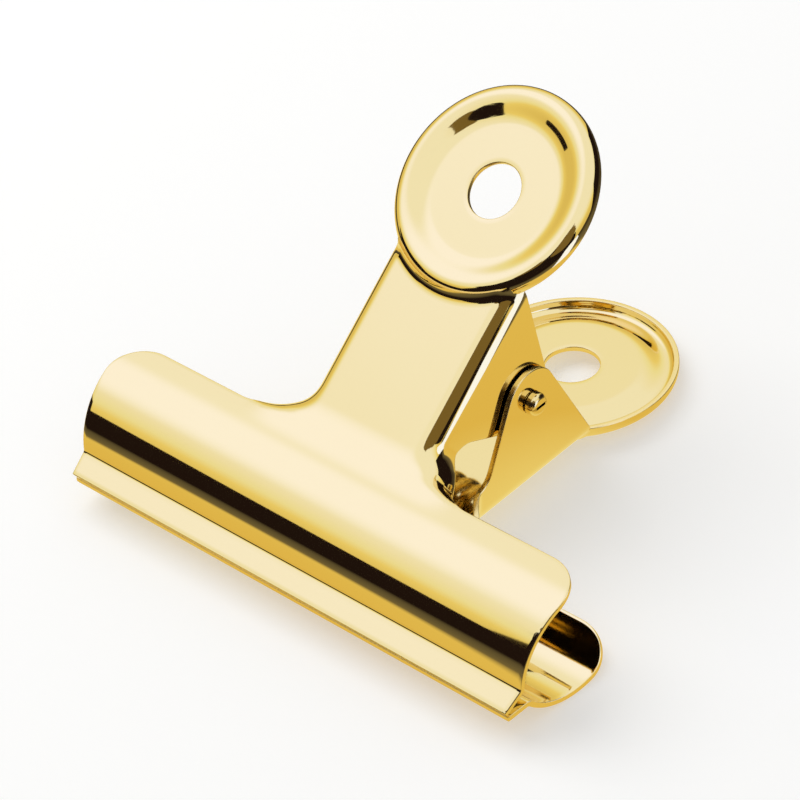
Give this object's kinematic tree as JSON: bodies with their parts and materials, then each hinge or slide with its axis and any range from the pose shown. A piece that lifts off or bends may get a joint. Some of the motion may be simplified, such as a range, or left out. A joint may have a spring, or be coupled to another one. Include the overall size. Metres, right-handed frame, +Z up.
{
  "type": "metal clip",
  "caption": "Gold-plated sheet-steel paper clip: a wide barrel-shaped jaw closed by a torsion spring and opened by pinching two round finger discs.",
  "frame": {"origin": "under the middle of the closed clip's box, on the surface that it lies on", "axes": "+X along the jaw, +Y from the lips to the finger discs, +Z up: the clip lies on its rear plate"},
  "size_m": [0.0508, 0.0474, 0.0322],
  "materials": {
    "plated_sheet": "mirror-bright gold-coloured plating on stamped sheet steel",
    "plated_pin": "bright gold-coloured plating on a steel pin with staked ends",
    "spring_wire": "gold-plated drawn spring wire, a little duller than the sheet"
  },
  "bodies": {
    "rear": {"rear_plate": "plated_sheet", "pivot_pin": "plated_pin", "torsion_spring": "spring_wire"},
    "front": {"front_plate": "plated_sheet"}
  },
  "joints": [
    {"name": "jaw_opening", "type": "hinge", "parent": "rear", "child": "front", "pos_m": [0, 0.00068, 0.0106], "axis": [-1, 0, 0], "range_deg": [0, 74], "stiffness_Nm_per_rad": 0.15, "springref_deg": -22.92, "deforming": ["torsion_spring"]}
  ]
}
